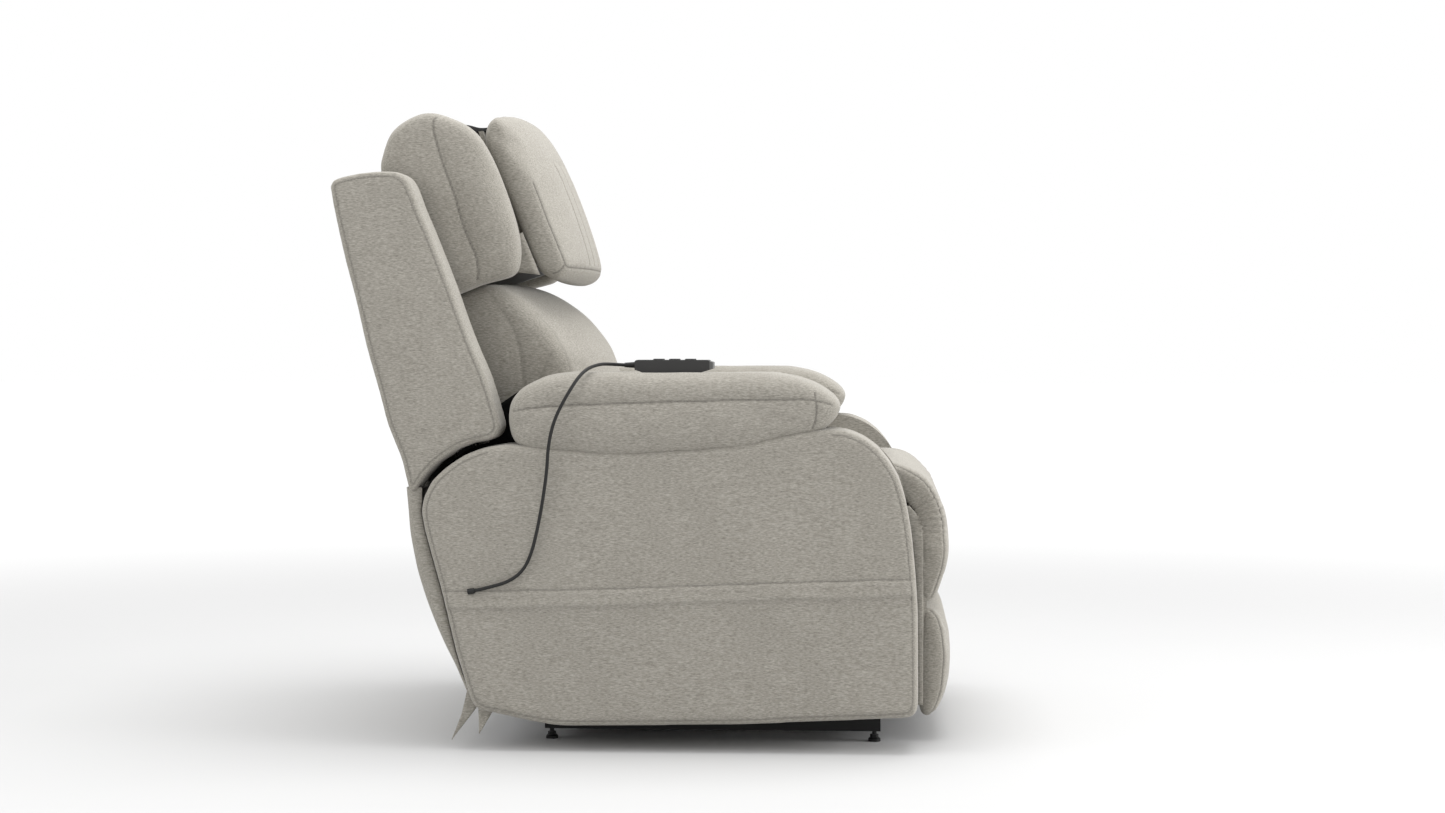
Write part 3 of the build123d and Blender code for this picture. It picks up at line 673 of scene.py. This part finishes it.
def panel_shape(co, _):
    """Padding, and the pocket hem that stands out from the outer face."""
    x, y, z = co.T
    hem = np.interp(x, *zip(*HEM_TOP))
    outer = np.clip((-y - 448) / 4, 0, 1)
    fall = hem - z + 1.5 * np.sin(x / 47) * np.sin(x / 89 + 1)
    flap = HEM_RELIEF * np.clip(fall / 7, 0, 1) * np.clip((HEM_DEPTH - fall) / 4, 0, 1) * outer
    flap += 1.1 * np.exp(-(((fall - 24) / 7) ** 2)) * outer
    ripple = 0.7 * np.sin(x / 63 + 0.6) * np.sin(z / 81) + 0.4 * np.sin(x / 31 + z / 47)
    co = co.copy()
    co[:, 1] -= flap + ripple * outer
    return co


panel_rings = rings_of(lambda y: outline(PANEL, 360, 4), -455, -338, 7, 4, 8)
panel_right = cushion(
    "side_cover_right", [panel_rings],
    [panel_seam(9, -455), [(x, -457, z) for x, z in HEM_TOP]],
    cap=0, even=2, shape=panel_shape, crease=0.6, dark=0.5,
)

# Arm pads.
ARM = [
    (-231, 584), (-227, 613), (-208, 640), (-174, 654), (-127, 661), (-52, 663), (105, 662),
    (172, 662), (247, 660), (269, 658), (289, 652), (311, 640), (331, 627), (340, 619),
    (348, 608), (348, 600), (337, 584), (324, 569), (305, 559), (247, 545), (194, 531),
    (150, 525), (105, 521), (-14, 513), (-80, 514), (-150, 520), (-197, 528), (-220, 539),
    (-228, 561),
]
ARM_SEAM = [(-226, 598), (-180, 604), (-126, 608), (14, 613), (154, 617), (294, 619), (342, 612)]
ARM_FRONT = [(308, 636), (308, 612), (308, 594), (306, 574), (303, 562)]


def arm_rounding(co, no):
    """The handset lies on a flat place on top."""
    co = co.copy()
    x, y, z = co.T
    near = np.exp(-((np.clip(np.abs(x - 53) - 60, 0, None) / 22) ** 2))
    near *= np.exp(-((np.clip(np.abs(y + 380) - 24, 0, None) / 16) ** 2))
    lid = 663.4 + (1 - near) * 1.6
    co[:, 2] = np.where(z > 600, np.minimum(z, lid), z)
    ripple = (1 - near) * 0.7 * np.sin(x / 37) * np.sin(y / 29 + 0.7) + 0.5 * np.sin(x / 19 + z / 23)
    co += no * ripple[:, None]
    co[:, 2] = np.minimum(co[:, 2], lid)
    return co


def arm_at(y):
    """The arm's outline, lower towards its outer and inner sides."""
    line = inset(outline(ARM, 260, 6), -2.5)
    off = abs(abs(y) - 380) / 82
    top = np.clip((line[:, 1] - 600) / 60, 0, 1)
    low = line.copy()
    low[:, 1] -= 5 * top * off**2
    return low


arm_right = cushion(
    "arm_cushion_right", [rings_of(arm_at, -456, -300, 24, 24, 10)],
    [
        [(x, -458, z) for x, z in ARM_SEAM],
        [(x, -458, z) for x, z in ARM_FRONT],
        [(x, -302, z) for x, z in ARM_SEAM],
    ],
    hold=lambda co: (co[:, 2] < np.interp(co[:, 0], *zip(*PANEL_TOP)) - 4) & (co[:, 1] > -430),
    cap=12, shape=arm_rounding,
)

# Wings of the back.
WING = [
    (-548, 995), (-539, 1005), (-500, 1014), (-462, 1018), (-428, 1017), (-414, 1010),
    (-405, 999), (-386, 949), (-367, 908), (-348, 859), (-329, 809), (-310, 757), (-291, 707),
    (-272, 662), (-257, 617), (-246, 579), (-244, 573), (-246, 560), (-252, 550), (-266, 545),
    (-293, 542), (-321, 531), (-356, 507), (-381, 480), (-394, 456), (-408, 449), (-421, 512),
    (-447, 576), (-464, 643), (-483, 716), (-501, 792), (-520, 868), (-539, 948),
]


def wing_shape(co, no):
    x, y, z = co.T
    ripple = 0.9 * np.sin(z / 71 + x / 53) + 0.5 * np.sin(z / 33 - x / 41)
    return co + no * ripple[:, None]


def wing_seam(depth, y):
    line = inset(outline(WING, 300, 5), depth)
    return [(x, y, z) for x, z in np.vstack([line, line[:1]])]


wing_right = cushion(
    "wing_cover_right",
    [rings_of(lambda y: outline(WING, 300, 5), -447, -354, 7, 7, 6)],
    [wing_seam(9, -449), wing_seam(9, -352)], cap=3, pressure=1.0, even=2, shape=wing_shape,
    crease=0.6, dark=0.5,
)

# Cover of the back, between the wings, folded over the top.
REAR = [
    (-411, 452), (-545, 995), (-537, 1006), (-500, 1013), (-474, 1014), (-474, 1002),
    (-500, 1001), (-528, 992), (-397, 453),
]


def rear_shape(co, _):
    x, y, z = co.T
    u = side_to_back(np.stack([x, z], 1))[:, 1]
    bulge = 7 * (1 - (y / 353) ** 2) * np.clip(np.sin((u - 40) / 590 * math.pi), 0, 1)
    ripple = 1.2 * np.sin(y / 57) * np.sin(z / 73)
    co = co.copy()
    co[:, 0] -= bulge + ripple
    return co


rear_cover = cushion(
    "rear_cover", [rings_of(lambda y: outline(REAR, 300, 3), -352, 352, 1, 1, 60)],
    [[(-542, y, 992) for y in range(-350, 351, 25)]], cap=0, voxel=5, even=1, shape=rear_shape,
    crease=1.5,
)

# Head pillow: a bolster each side and a thin middle behind the headrest.
PILLOW = [
    (-484, 1028), (-478, 1057), (-464, 1095), (-441, 1114), (-413, 1128), (-389, 1132),
    (-374, 1128), (-350, 1119), (-328, 1110), (-312, 1098), (-300, 1085), (-281, 1049),
    (-257, 989), (-238, 936), (-229, 897), (-228, 866), (-236, 836), (-300, 820), (-345, 801),
    (-398, 788), (-420, 850), (-455, 955),
]
MIDDLE = [(-14, 440), (132, 440), (112, 560), (84, 698), (40, 702), (-14, 655)]
PILLOW_SEAM = [
    (-374, 1131), (-383, 1119), (-382, 1096), (-366, 1041), (-343, 979), (-327, 921),
    (-304, 870), (-300, 839), (-303, 826),
]
pillow_line = outline(PILLOW, 240, 8)
middle_line = outline(back_to_side(MIDDLE), 240, 8)
pillow_bodies = [
    rings_of(lambda y: pillow_line, -332, -260, 20, 20, 8),
    rings_of(lambda y: pillow_line, 260, 332, 20, 20, 8),
    rings_of(lambda y: middle_line, -270, 270, 2, 2, 40),
]
PILLOW_CROSS = [back_to_side([(v, u)])[0] for v, u in ((128, 452), (112, 560), (86, 690))]
pillow = cushion(
    "head_pillow_cover", pillow_bodies,
    [[(x, sign * 334, z) for x, z in PILLOW_SEAM] for sign in (-1, 1)]
    + [[(x, sign * 256, z) for x, z in PILLOW_CROSS] for sign in (-1, 1)],
    hold=lambda co: (side_to_back(co[:, [0, 2]])[:, 0] < -6)
    | (side_to_back(co[:, [0, 2]])[:, 1] < 408),
    cap=9,
)

# Headrest pad, crowned in front.
HEAD = [
    (192, 378), (221, 358), (239, 356), (256, 361), (269, 374), (272, 396), (274, 440),
    (274, 490), (270, 566), (255, 640),
    (238, 681), (212, 701), (186, 693), (170, 670), (167, 648), (172, 602), (180, 508),
    (184, 430),
]
HEAD_HALF = 246.0
HEAD_SIDE = [
    (-206, 1010), (-200, 995), (-182, 944), (-163, 897), (-147, 860),
]


def head_at(y):
    line = outline(HEAD, 220, 7).copy()
    off = (abs(y) / HEAD_HALF) ** 2.6
    v, u = line.T
    back = 29 + 11 * np.clip((u - 380) / 100, 0, 1)
    line[:, 0] = v - back * off * np.clip((v - 196) / 60, 0, 1)
    line[:, 1] = u - 12 * off * np.clip((u - 560) / 120, 0, 1)
    line[:, 1] += 15 * off * np.clip((400 - u) / 40, 0, 1)
    return back_to_side(line)


def head_front(y, u):
    """A point on the pad's front."""
    line = side_to_back(head_at(y))
    front = line[line[:, 0] > 205]
    v = front[np.argmin(abs(front[:, 1] - u)), 0]
    x, z = back_to_side([(v + 2, u)])[0]
    return (x, y, z)


def head_seams():
    side = [(x, -247, z) for x, z in HEAD_SIDE]
    low = []
    for y in range(-240, 241, 20):
        off = (y / HEAD_HALF) ** 2
        x, z = back_to_side([(266 - 29 * off, 376 + 10 * off)])[0]
        low.append((x, y, z))
    path = side + low + [(x, -y, z) for x, y, z in reversed(side)]
    pleats = [[head_front(y, u) for u in range(384, 600, 12)] for y in (-92, -34, 34, 92)]
    mitres = [[(-147, y, 860), (-161, y, 846), (-177, y, 838)] for y in (-246, 246)]
    return [path] + mitres + pleats


headrest = cushion(
    "headrest_cover", [rings_of(head_at, -HEAD_HALF, HEAD_HALF, 13, 13, 60)], head_seams(),
    hold=lambda co: side_to_back(co[:, [0, 2]])[:, 0] < 186, cap=10, voxel=5,
)

# Lumbar cushion.
LUMBAR = [
    (-14, 50), (60, 50), (214, 62), (236, 140), (239, 230), (214, 300), (176, 350), (148, 376),
    (112, 400), (60, 402), (10, 400), (-14, 394),
]
LUMBAR_WIDE = 284.0


def lumbar_at(y):
    line = outline(LUMBAR, 240, 12).copy()
    off = (abs(y) / LUMBAR_WIDE) ** 2.4
    v, u = line.T
    line[:, 0] = v - 42 * off * np.clip((v - 60) / 150, 0, 1)
    return back_to_side(line)


def lumbar_seams():
    paths = []
    for sign in (-1, 1):
        rear = [(-294, 815), (-262, 768), (-243, 738), (-233, 700), (-226, 640), (-222, 580)]
        front = [(-181, 797), (-164, 776), (-155, 758), (-150, 733), (-140, 690), (-132, 640)]
        dart = [(-176, 697), (-186, 675), (-197, 652), (-206, 630)]
        for line in (rear, front, dart):
            paths.append([(x, sign * 284, z) for x, z in line])
    return paths


lumbar = cushion(
    "lumbar_cover", [rings_of(lumbar_at, -LUMBAR_WIDE, LUMBAR_WIDE, 24, 24, 50)], lumbar_seams(),
    hold=lambda co: (side_to_back(co[:, [0, 2]])[:, 0] < -6)
    | (side_to_back(co[:, [0, 2]])[:, 1] > 396),
    cap=7, crease=0.7, dark=0.28, threads=False,
)

# Seat cushion.
SEAT = [
    (-205, 378), (-205, 448), (-192, 462), (60, 480), (300, 494), (398, 500), (406, 490),
    (408, 455), (434, 452), (460, 444), (479, 428), (488, 408), (490, 386), (486, 375),
    (404, 375),
]
seat = cushion(
    "seat_cover", [rings_of(lambda y: outline(SEAT, 240, 8), -281, 281, 18, 18, 50)],
    [[(x, sign * 282, z) for x, z in ((-200, 452), (60, 474), (300, 488), (396, 494))]
     for sign in (-1, 1)],
    hold=lambda co: (co[:, 2] < 384) | (co[:, 0] > 405), cap=10,
)

# Front roll and chaise, in one piece from the seat to the foot of the roll.
CHAISE = [
    (404, 452), (404, 496), (416, 503), (442, 502), (466, 496), (490, 484), (506, 470),
    (520, 452), (530, 428), (538, 390), (541, 348), (537, 309), (527, 274), (520, 256),
    (496, 246), (489, 254), (489, 291), (493, 330), (493, 362), (489, 392), (480, 412),
    (470, 430), (454, 446), (434, 456),
]
CHAISE_SEAM = [
    (416, 505), (444, 505), (466, 492), (488, 478), (508, 458), (524, 430), (533, 396),
    (537, 353), (530, 308), (512, 256),
]


def chaise_shape(co, no):
    """Gathers beside the seam, where the roll turns."""
    x, y, z = co.T
    turn = np.degrees(np.arctan2(z - FOOT_PIVOT[1], x - FOOT_PIVOT[0]))
    band = np.exp(-(((turn - 18) / 26) ** 2))
    edge = np.exp(-((np.abs(np.abs(y) - 300) / 26) ** 2))
    fold = np.sin(np.radians(turn) * 46) + 0.5 * np.sin(np.radians(turn) * 79 + y / 13)
    ripple = 0.8 * np.sin(y / 61) * np.sin(np.radians(turn) * 9)
    return co + no * (1.5 * fold * band * edge + ripple)[:, None]


chaise = cushion(
    "chaise_cover", [rings_of(lambda y: outline(CHAISE, 260, 5), -302, 302, 14, 14, 60)],
    [[(x, sign * 300, z) for x, z in CHAISE_SEAM] for sign in (-1, 1)],
    hold=lambda co: (co[:, 0] < 412) | ((co[:, 0] < 496) & (co[:, 2] < 400)),
    cap=6, pressure=2.5, voxel=5, shape=chaise_shape,
)

# Leg pad.
LEG = [
    (492, 242), (512, 244), (528, 232), (537, 204), (542, 150), (537, 92), (524, 54), (507, 41),
    (494, 44), (489, 60), (488, 150),
]
LEG_SEAM = [(510, 240), (521, 229), (531, 196), (535, 155), (530, 96), (518, 56), (508, 43)]
leg = cushion(
    "leg_pad_cover", [rings_of(lambda y: outline(LEG, 220, 5), -302, 302, 14, 14, 60)],
    [[(x, sign * 300, z) for x, z in LEG_SEAM] for sign in (-1, 1)],
    hold=lambda co: co[:, 0] < 498, cap=9, pressure=8, voxel=5,
)

inflate()
finish_soft()
finish_cad_nodes()

SIDE_PIECES = {}
for obj, name in (
    (panel_right, "side_cover_left"), (arm_right, "arm_cushion_left"), (wing_right, "wing_cover_left")
):
    SIDE_PIECES[name] = mirrored(obj, name)


# Rear curtain and its tie ends.
def sheet_mesh(name, rows, thick, material):
    """A thin closed sheet over a grid of points."""
    grid = np.asarray(rows, float)
    n, m = grid.shape[:2]
    faces = []
    for i in range(n - 1):
        for j in range(m - 1):
            a = i * m + j
            faces.append((a, a + 1, a + m + 1, a + m))
    mesh = bpy.data.meshes.new(name)
    mesh.from_pydata((grid.reshape(-1, 3) / 1000).tolist(), [], faces)
    obj = new_object(name, mesh)
    skin = obj.modifiers.new("skin", "SOLIDIFY")
    skin.thickness = thick / 1000
    skin.offset = 0
    bake(obj)
    mesh = obj.data
    mesh.materials.append(material)
    mesh.polygons.foreach_set("use_smooth", np.ones(len(mesh.polygons), bool))
    dress(mesh)
    return obj


CURTAIN = [
    (-417, 462), (-413, 418), (-411, 384), (-398, 316), (-381, 262), (-364, 218), (-347, 180),
    (-329, 146), (-317, 116), (-309, 98),
]
PANEL_REAR = [(-383, 442), (-385, 419), (-378, 382), (-350, 281), (-324, 171), (-300, 94)]


def curtain_rows():
    """Hanging folds between the two ends, and a turned return at each side."""
    line = finely([(x, 0, z) for x, z in CURTAIN], 7)
    rows = []
    for k, (x, _, z) in enumerate(line):
        t = k / (len(line) - 1)
        row = []
        edge = np.interp(z, *zip(*sorted((zz, xx) for xx, zz in PANEL_REAR))) - 3
        deep = max(edge - x - 3, 6)
        for y in np.linspace(-425, 425, 120):
            hang = math.sin(math.pi * t) * min(1, (425 - abs(y)) / 60)
            fold = 3.0 * math.sin(y / 46) * hang + 1.6 * math.sin(y / 21 + 3 * t) * hang
            row.append((x + 3 + fold, y, z))
        turn = [(deep * s, 7 * min(1, 3 * s)) for s in (0.12, 0.35, 0.65, 1)]
        left = [(x + 3 + ahead, 425 + out, z) for ahead, out in turn]
        right = [(x + 3 + ahead, -425 - out, z) for ahead, out in reversed(turn)]
        rows.append(right + row + left)
    return rows


curtain = sheet_mesh("rear_curtain_cloth", curtain_rows(), 1.6, LINEN)


def tie_rows(line, wide, y, twist):
    rows = []
    path = finely([(x, 0, z) for x, z in line], 4)
    for k, (x, _, z) in enumerate(path):
        t = k / (len(path) - 1)
        half = wide * (0.5 - 0.44 * t)
        row = []
        for s in np.linspace(-1, 1, 5):
            row.append((x + s * half, y + twist * s * t + 3 * math.sin(5 * t), z + 4 * s * t))
        rows.append(row)
    return rows


TIES = (
    ([(-288, 112), (-308, 64), (-334, 19)], 40, 416, 2.5),
    ([(-272, 88), (-279, 56), (-286, 29)], 40, 416, -2.5),
)
tie_pieces = []
for side, sign in (("right", -1), ("left", 1)):
    for number, (line, wide, y, twist) in enumerate(TIES, 1):
        tie_pieces.append(
            sheet_mesh(f"tie_end_{side}_{number}", tie_rows(line, wide, sign * y, twist), 1.4, LINEN)
        )

# Fabric that joins the headrest to the back.
STRIP = back_to_side([(86, 700), (104, 711), (128, 713), (152, 694), (178, 687)])
strip_path = finely([(x, 0, z) for x, z in STRIP], 5)
strip_rows = [
    [(x, y, z - 15 * abs(y / 185) ** 4 - 2 * math.sin(math.pi * k / len(strip_path)))
     for y in np.linspace(-185, 185, 40)]
    for k, (x, _, z) in enumerate(strip_path)
]
strip = sheet_mesh("headrest_link_strip", strip_rows, 2.0, LINING)
CORNER = back_to_side([(184, 470), (190, 386), (118, 420), (118, 462)])
corners = []
for side, sign in (("right", -1), ("left", 1)):
    a, b, c, d = CORNER
    rows = []
    for t in np.linspace(0, 1, 8):
        start, end = a + (d - a) * t, b + (c - b) * t
        row = []
        for s in np.linspace(0, 1, 8):
            x, z = start + (end - start) * s
            row.append((x, sign * (249 - 2 * math.sin(math.pi * s)), z))
        rows.append(row)
    corners.append(sheet_mesh(f"headrest_gusset_{side}", rows, 1.5, LINEN))

# Fabric over the ends of the footrest's board, and down each side behind the cushions.
TRIM = [(66, 486), (293, 482), (335, 478), (362, 474), (398, 464), (424, 452)]
side_trims, inner_covers = [], []
for side, sign in (("right", -1), ("left", 1)):
    rows = []
    for z in np.linspace(66, 424, 60):
        rear = np.interp(z, *zip(*TRIM))
        front = 496 - max(0, z - 396) * 0.9
        rows.append([(rear + (front - rear) * t, sign * (299 + 1.2 * math.sin(math.pi * t)), z)
                     for t in np.linspace(0, 1, 6)])
    side_trims.append(sheet_mesh(f"footrest_side_trim_{side}", rows, 2.0, LINEN))
    rows = []
    for u in np.linspace(250, 610, 60):
        row = []
        for t in np.linspace(0, 1, 8):
            (x, z), = back_to_side([(-12 - 3 * math.sin(math.pi * t), u)])
            row.append((x, sign * (289 + 62 * t), z))
        rows.append(row)
    inner_covers.append(sheet_mesh(f"inner_back_cover_{side}", rows, 2.0, LINEN))

# Painted shade: a black cloth sheet inside the rear of each arm, darkening the gap seen between the arm pad
# and the wing.
ARM_GAP_SHADE_TOP = [(-280, 596), (-258, 608), (-232, 626), (-205, 640)]
arm_gap_shade_sheets = []
for side, sign in (("right", -1), ("left", 1)):
    rows = []
    for x in np.linspace(-280, -205, 16):
        top = np.interp(x, *zip(*ARM_GAP_SHADE_TOP))
        rows.append([(x, sign * (343 + math.sin(math.pi * t)), 524 + (top - 524) * t)
                     for t in np.linspace(0, 1, 16)])
    arm_gap_shade_sheets.append(sheet_mesh(f"arm_gap_shade_sheet_{side}", rows, 2.0, LINING))

# What each piece rides on and stands for.
RIDES = (
    (panel_right, "chassis", ("side_panel_right",), 0.95),
    (SIDE_PIECES["side_cover_left"], "chassis", ("side_panel_left",), 0.95),
    (arm_right, "chassis", ("arm_pad_right",), 0.85),
    (SIDE_PIECES["arm_cushion_left"], "chassis", ("arm_pad_left",), 0.85),
    (wing_right, "back", ("back_wing_right",), 0.9),
    (SIDE_PIECES["wing_cover_left"], "back", ("back_wing_left",), 0.9),
    (rear_cover, "back", ("back_rear_panel",), None),
    (pillow, "back", ("head_pillow",), 0.85),
    (headrest, "headrest", ("headrest_pad",), 0.85),
    (lumbar, "lumbar", ("lumbar_cushion",), 0.8),
    (seat, "chassis", ("seat_cushion",), 0.85),
    (leg, "footrest", ("leg_pad",), 0.85),
)
for obj, body, nodes, fill in RIDES:
    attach(obj, body)
    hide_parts(*nodes)
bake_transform(chaise)
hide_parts("chaise_roll", "chaise_pad")
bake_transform(curtain)
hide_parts("rear_curtain")
for pieces, body in ((side_trims, "footrest"), (inner_covers, "back")):
    for piece in pieces:
        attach(piece, body)
for piece in arm_gap_shade_sheets:
    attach(piece, "chassis")
for tie in tie_pieces:
    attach(tie, "chassis")
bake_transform(strip)
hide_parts("headrest_gusset")
for corner in corners:
    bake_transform(corner)

# Floor and light.
floor_mesh = bpy.data.meshes.new("floor")
half = 30.0
floor_mesh.from_pydata(
    [(-half, -half, 0), (half, -half, 0), (half, half, 0), (-half, half, 0)], [], [(0, 1, 2, 3)]
)
floor = new_object("floor", floor_mesh)
floor_material, floor_tree, floor_shader = new_material("floor_paper", (0.58, 0.58, 0.58), 0.9, specular=0.1)
place = floor_tree.nodes.new("ShaderNodeTexCoord").outputs["Object"]
shade = noise(floor_tree, place, (0.5, 0.5, 0.5), 3.0)
paper = tinted(floor_tree, shade, (0.56, 0.56, 0.56), (0.57, 0.57, 0.57))
radius = floor_tree.nodes.new("ShaderNodeVectorMath")
radius.operation = "LENGTH"
floor_tree.links.new(place, radius.inputs[0])
far = floor_tree.nodes.new("ShaderNodeMapRange")
far.interpolation_type = "SMOOTHSTEP"
far.inputs["From Min"].default_value = 1.6
far.inputs["From Max"].default_value = 4.5
floor_tree.links.new(radius.outputs["Value"], far.inputs["Value"])
floor_tree.links.new(tinted(floor_tree, far.outputs[0], paper, (0, 0, 0)), floor_shader.inputs["Base Color"])
floor_shader.inputs["Emission Color"].default_value = (1, 1, 1, 1)
floor_tree.links.new(far.outputs[0], floor_shader.inputs["Emission Strength"])
floor_mesh.materials.append(floor_material)

world = scene.world or bpy.data.worlds.new("world")
scene.world = world
world.use_nodes = True
backdrop = world.node_tree.nodes["Background"]
backdrop.inputs[0].default_value = (1, 1, 1, 1)
backdrop.inputs[1].default_value = 1.0


def area_light(name, place, target, size, power):
    light = bpy.data.lights.new(name, "AREA")
    light.shape = "RECTANGLE"
    light.size, light.size_y = size
    light.energy = power
    lamp = bpy.data.objects.new(name, light)
    scene.collection.objects.link(lamp)
    lamp.location = place
    lamp.rotation_euler = (Vector(target) - Vector(place)).to_track_quat("-Z", "Y").to_euler()


area_light("key", (4.6, -0.7, 1.2), (0, 0, 0.6), (3.2, 2.2), 139)
area_light("overhead", (0.1, 0.0, 4.2), (0, 0, 0.0), (3.2, 3.2), 132)
area_light("fill", (-3.2, -2.6, 2.2), (0, 0, 0.5), (2.5, 2.5), 29)
